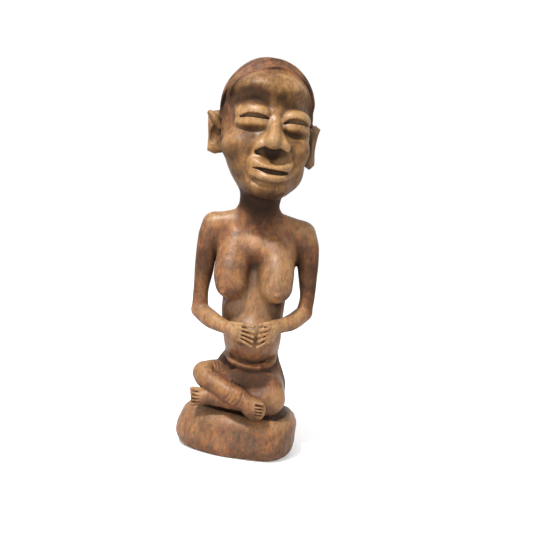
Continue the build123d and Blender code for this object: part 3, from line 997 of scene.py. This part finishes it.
def wood_material(name, golden, grey, rough, deep, bright):
    """Old polished wood: mottled, with dirt and painted shade in the hollows, painted shade on the
    undersides, painted light on the tops, and golden wear where hands have rubbed it.
    """
    material = bpy.data.materials.new(name)
    n = Nodes(material)
    grain = n.noise(0.16, 520, 3, 0.55)
    streaks = n.noise(0.4, 230, 5, 0.7)
    patches = n.noise(0.6, 120, 6, 0.72)
    stains = n.noise(0.8, 48, 6, 0.7)
    speckle = n.noise(0.6, 330, 4, 0.75)
    fine, broad = n.attribute("hollow_fine"), n.attribute("hollow_broad")
    # how dark the wood is from age and from painted shade, from above 1 where it is dark down to 0, and
    # how golden from wear and from painted light on the tops, from 0 to 1
    aged_and_shaded = n.maths("ADD", n.attribute("patina_and_shade"), n.spread(stains, 0.36, 0.64, -0.24, 0.24))
    # painted shade and light: faces that point down are made darker and faces that point up lighter, as if
    # lit from above
    aged_and_shaded = n.maths("SUBTRACT", aged_and_shaded, n.spread(n.attribute("upward"), -0.7, 0.7, -0.4, 0.3))
    worn_and_top_lit = n.maths("ADD", n.spread(aged_and_shaded, 0.75, 0.05), n.spread(broad, -0.05, -0.4, -0.25, 0.25))
    worn_and_top_lit = n.maths("MULTIPLY", worn_and_top_lit, n.spread(streaks, 0.38, 0.58, 0.4, 1))

    layers = ((n.spread(stains, 0.46, 0.62, 0, grey), GREY_BROWN),
              (n.spread(streaks, 0.46, 0.64, 0, 1.4 * grey), GREY_BROWN),
              (n.maths("MULTIPLY", worn_and_top_lit, golden), GOLDEN),
              (n.spread(aged_and_shaded, 0.45, 1.15, 0, 0.8), UMBER),
              (n.spread(aged_and_shaded, 0.95, 1.8, 0, 0.85), DARK),
              (n.spread(grain, 0.42, 0.72, 0, 0.25), UMBER),
              (n.spread(speckle, 0.52, 0.68, 0, 0.4), DARK),
              (n.maths("MULTIPLY", n.spread(speckle, 0.46, 0.34, 0, 0.6), worn_and_top_lit), GOLDEN),
              # painted shade, partly dirt: darker in broad hollows and near black in fine creases and
              # slits
              (n.spread(broad, 0.02, 0.42, 0, 0.7), HOLLOW_DIRT_AND_SHADE),
              (n.spread(fine, 0.1, 0.42, 0, 0.95), CREASE_DIRT_AND_SHADE))
    color = n.mix(n.spread(patches, 0.42, 0.58), deep, bright)
    for strength, layer in layers:
        color = n.mix(strength, color, layer)
    n.plug(color, n.shader.inputs["Base Color"])

    # rougher and less shiny where it is aged or hollow
    roughness = n.spread(patches, 0.3, 0.7, rough, rough + 0.12)
    roughness = n.maths("ADD", roughness, n.spread(fine, 0.05, 0.4, 0, 0.25))
    roughness = n.maths("ADD", roughness, n.spread(aged_and_shaded, 0.5, 1.3, 0, 0.18))
    n.plug(roughness, n.shader.inputs["Roughness"])
    n.plug(n.spread(aged_and_shaded, 0.2, 1, 0.24, 0.05), n.shader.inputs["Specular IOR Level"])
    height = n.maths("ADD", n.spread(grain, 0.3, 0.7, 0, 0.6), n.spread(speckle, 0.5, 0.8, 0, -0.5))
    bump = n.put("Bump", {"Strength": 0.35, "Distance": 0.0004, "Height": height})
    n.plug(bump.outputs["Normal"], n.shader.inputs["Normal"])
    return material


def make_woods():
    """The material of each slot: its golden and grey shares, least roughness and two main colours."""
    woods = {"body_wood": (0.8, 0.45, 0.38, RED_BROWN, ORANGE),
             "head_wood": (0.92, 0.22, 0.34, OLIVE_BROWN, HONEY),
             "hair_wood": (0.6, 0.6, 0.42, RED_BROWN, ORANGE),
             "pedestal_wood": (0.6, 0.6, 0.44, RED_BROWN, ORANGE)}
    return {name: wood_material(name, *values) for name, values in woods.items()}


# ---- floor, light and camera ----
WHITE = (1, 1, 1, 1)
FLOOR_SIZE = 8
FLOOR_COLOR, FLOOR_GLOW = (0.8, 0.8, 0.8, 1), 0.25
SENSOR_WIDTH, LENS = 36, 44.9  # millimetres
CAMERA_PLACE = (0.013587, -0.68, 0.23)
CAMERA_PITCH, CAMERA_ROLL = 3.614, 6  # degrees, downward and anticlockwise


def make_floor():
    """A pale floor that glows a little, so that it nearly disappears."""
    bpy.ops.mesh.primitive_plane_add(size=FLOOR_SIZE)
    floor = bpy.context.object
    floor.name = "floor"
    material = bpy.data.materials.new("pale_floor")
    inputs = Nodes(material).shader.inputs
    inputs["Base Color"].default_value = FLOOR_COLOR
    inputs["Emission Color"].default_value = WHITE
    inputs["Emission Strength"].default_value = FLOOR_GLOW
    floor.data.materials.append(material)


def make_lamp(name, location, target, size, power, color):
    """A square area light that points at its target."""
    light = bpy.data.lights.new(name, "AREA")
    light.size = size
    light.energy = power
    light.color = color
    lamp = bpy.data.objects.new(name, light)
    lamp.location = location
    lamp.rotation_euler = (Vector(target) - Vector(location)).to_track_quat("-Z", "Y").to_euler()
    SCENE.collection.objects.link(lamp)


def make_light():
    """A small key light high up in front, a weak wide one, and a white room all round."""
    make_lamp("key", location=(-0.4, -0.62, 1.37), target=(0, 0, 0.25), size=0.14, power=38,
              color=(1, 0.98, 0.95))
    make_lamp("front", location=(-0.5, -1.3, 0.5), target=(0, 0, 0.22), size=0.8, power=6,
              color=(1, 1, 1))
    SCENE.view_settings.view_transform = "Standard"
    world = bpy.data.worlds.new("room")
    world.use_nodes = True
    background = world.node_tree.nodes["Background"]
    background.inputs["Color"].default_value = WHITE
    background.inputs["Strength"].default_value = 1
    SCENE.world = world


def make_camera():
    """A camera in front that looks along Y, tipped down and rolled."""
    data = bpy.data.cameras.new("camera")
    camera = bpy.data.objects.new("camera", data)
    data.sensor_width = SENSOR_WIDTH
    data.lens = LENS
    pitch, roll = math.radians(CAMERA_PITCH), math.radians(CAMERA_ROLL)
    forward = Vector((0, math.cos(pitch), -math.sin(pitch)))
    right = Vector((1, 0, 0))
    up = right.cross(forward)
    tilted_right = right * math.cos(roll) + up * math.sin(roll)
    tilted_up = up * math.cos(roll) - right * math.sin(roll)
    matrix = Matrix((tilted_right, tilted_up, -forward)).transposed().to_4x4()
    matrix.translation = Vector(CAMERA_PLACE)
    camera.matrix_world = matrix
    SCENE.collection.objects.link(camera)
    SCENE.camera = camera


make_pieces(carve_figure(), make_woods())
make_floor()
make_light()
make_camera()
